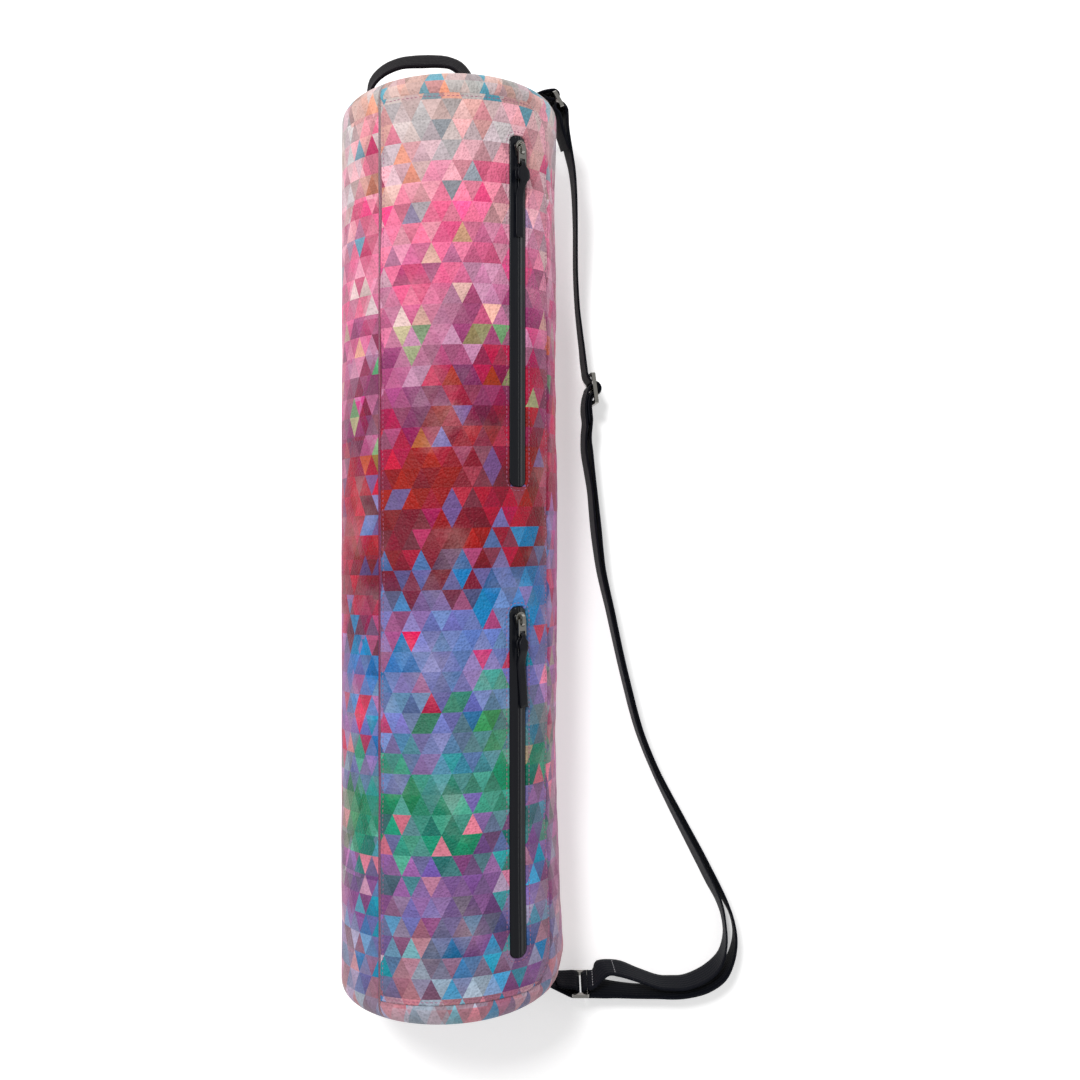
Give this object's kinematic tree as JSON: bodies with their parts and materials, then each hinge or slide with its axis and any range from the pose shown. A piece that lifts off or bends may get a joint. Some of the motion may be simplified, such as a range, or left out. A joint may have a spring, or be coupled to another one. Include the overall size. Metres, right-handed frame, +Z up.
{
  "type": "yoga mat bag",
  "caption": "Long soft round bag for a rolled mat, lying on its back, with a zipped pocket panel, a grab handle and an adjustable webbing shoulder strap.",
  "frame": {"origin": "middle of the flattened underside that the bag rests on", "axes": "+Y along the tube towards the end with the grab handle, +Z up out of the pocket panel's side, +X towards the shoulder strap"},
  "size_m": [0.3112, 0.7401, 0.1597],
  "materials": {
    "printed_wrap": "satin, fine grain, mosaic print",
    "printed_panel": "satin, fine grain, mosaic print",
    "end_disc": "satin, fine grain, mosaic print",
    "webbing": "woven ribs, slightly shiny",
    "pull_cloth": "satin ribbon",
    "zip_tape": "coated, glossy",
    "steel": "nickel-plated, bright"
  },
  "bodies": {
    "root": {"body_shell": "printed_wrap", "top_disc": "end_disc", "bottom_disc": "end_disc", "front_panel": "printed_panel", "handle": "webbing", "top_ring": "steel", "bottom_ring": "steel", "strap_adjuster": "steel", "top_tab": "webbing", "bottom_tab": "webbing", "strap_upper": "webbing", "strap_outer": "webbing", "strap_inner": "webbing", "pocket_zip_upper": "zip_tape", "pocket_zip_upper_slider": "steel", "pocket_zip_upper_puller": "steel", "pocket_zip_upper_pull_tab": "pull_cloth", "pocket_zip_lower": "zip_tape", "pocket_zip_lower_slider": "steel", "pocket_zip_lower_puller": "steel", "pocket_zip_lower_pull_tab": "pull_cloth", "main_zip": "zip_tape", "main_zip_slider": "steel", "main_zip_puller": "steel", "main_zip_pull_tab": "pull_cloth"}
  },
  "joints": []
}
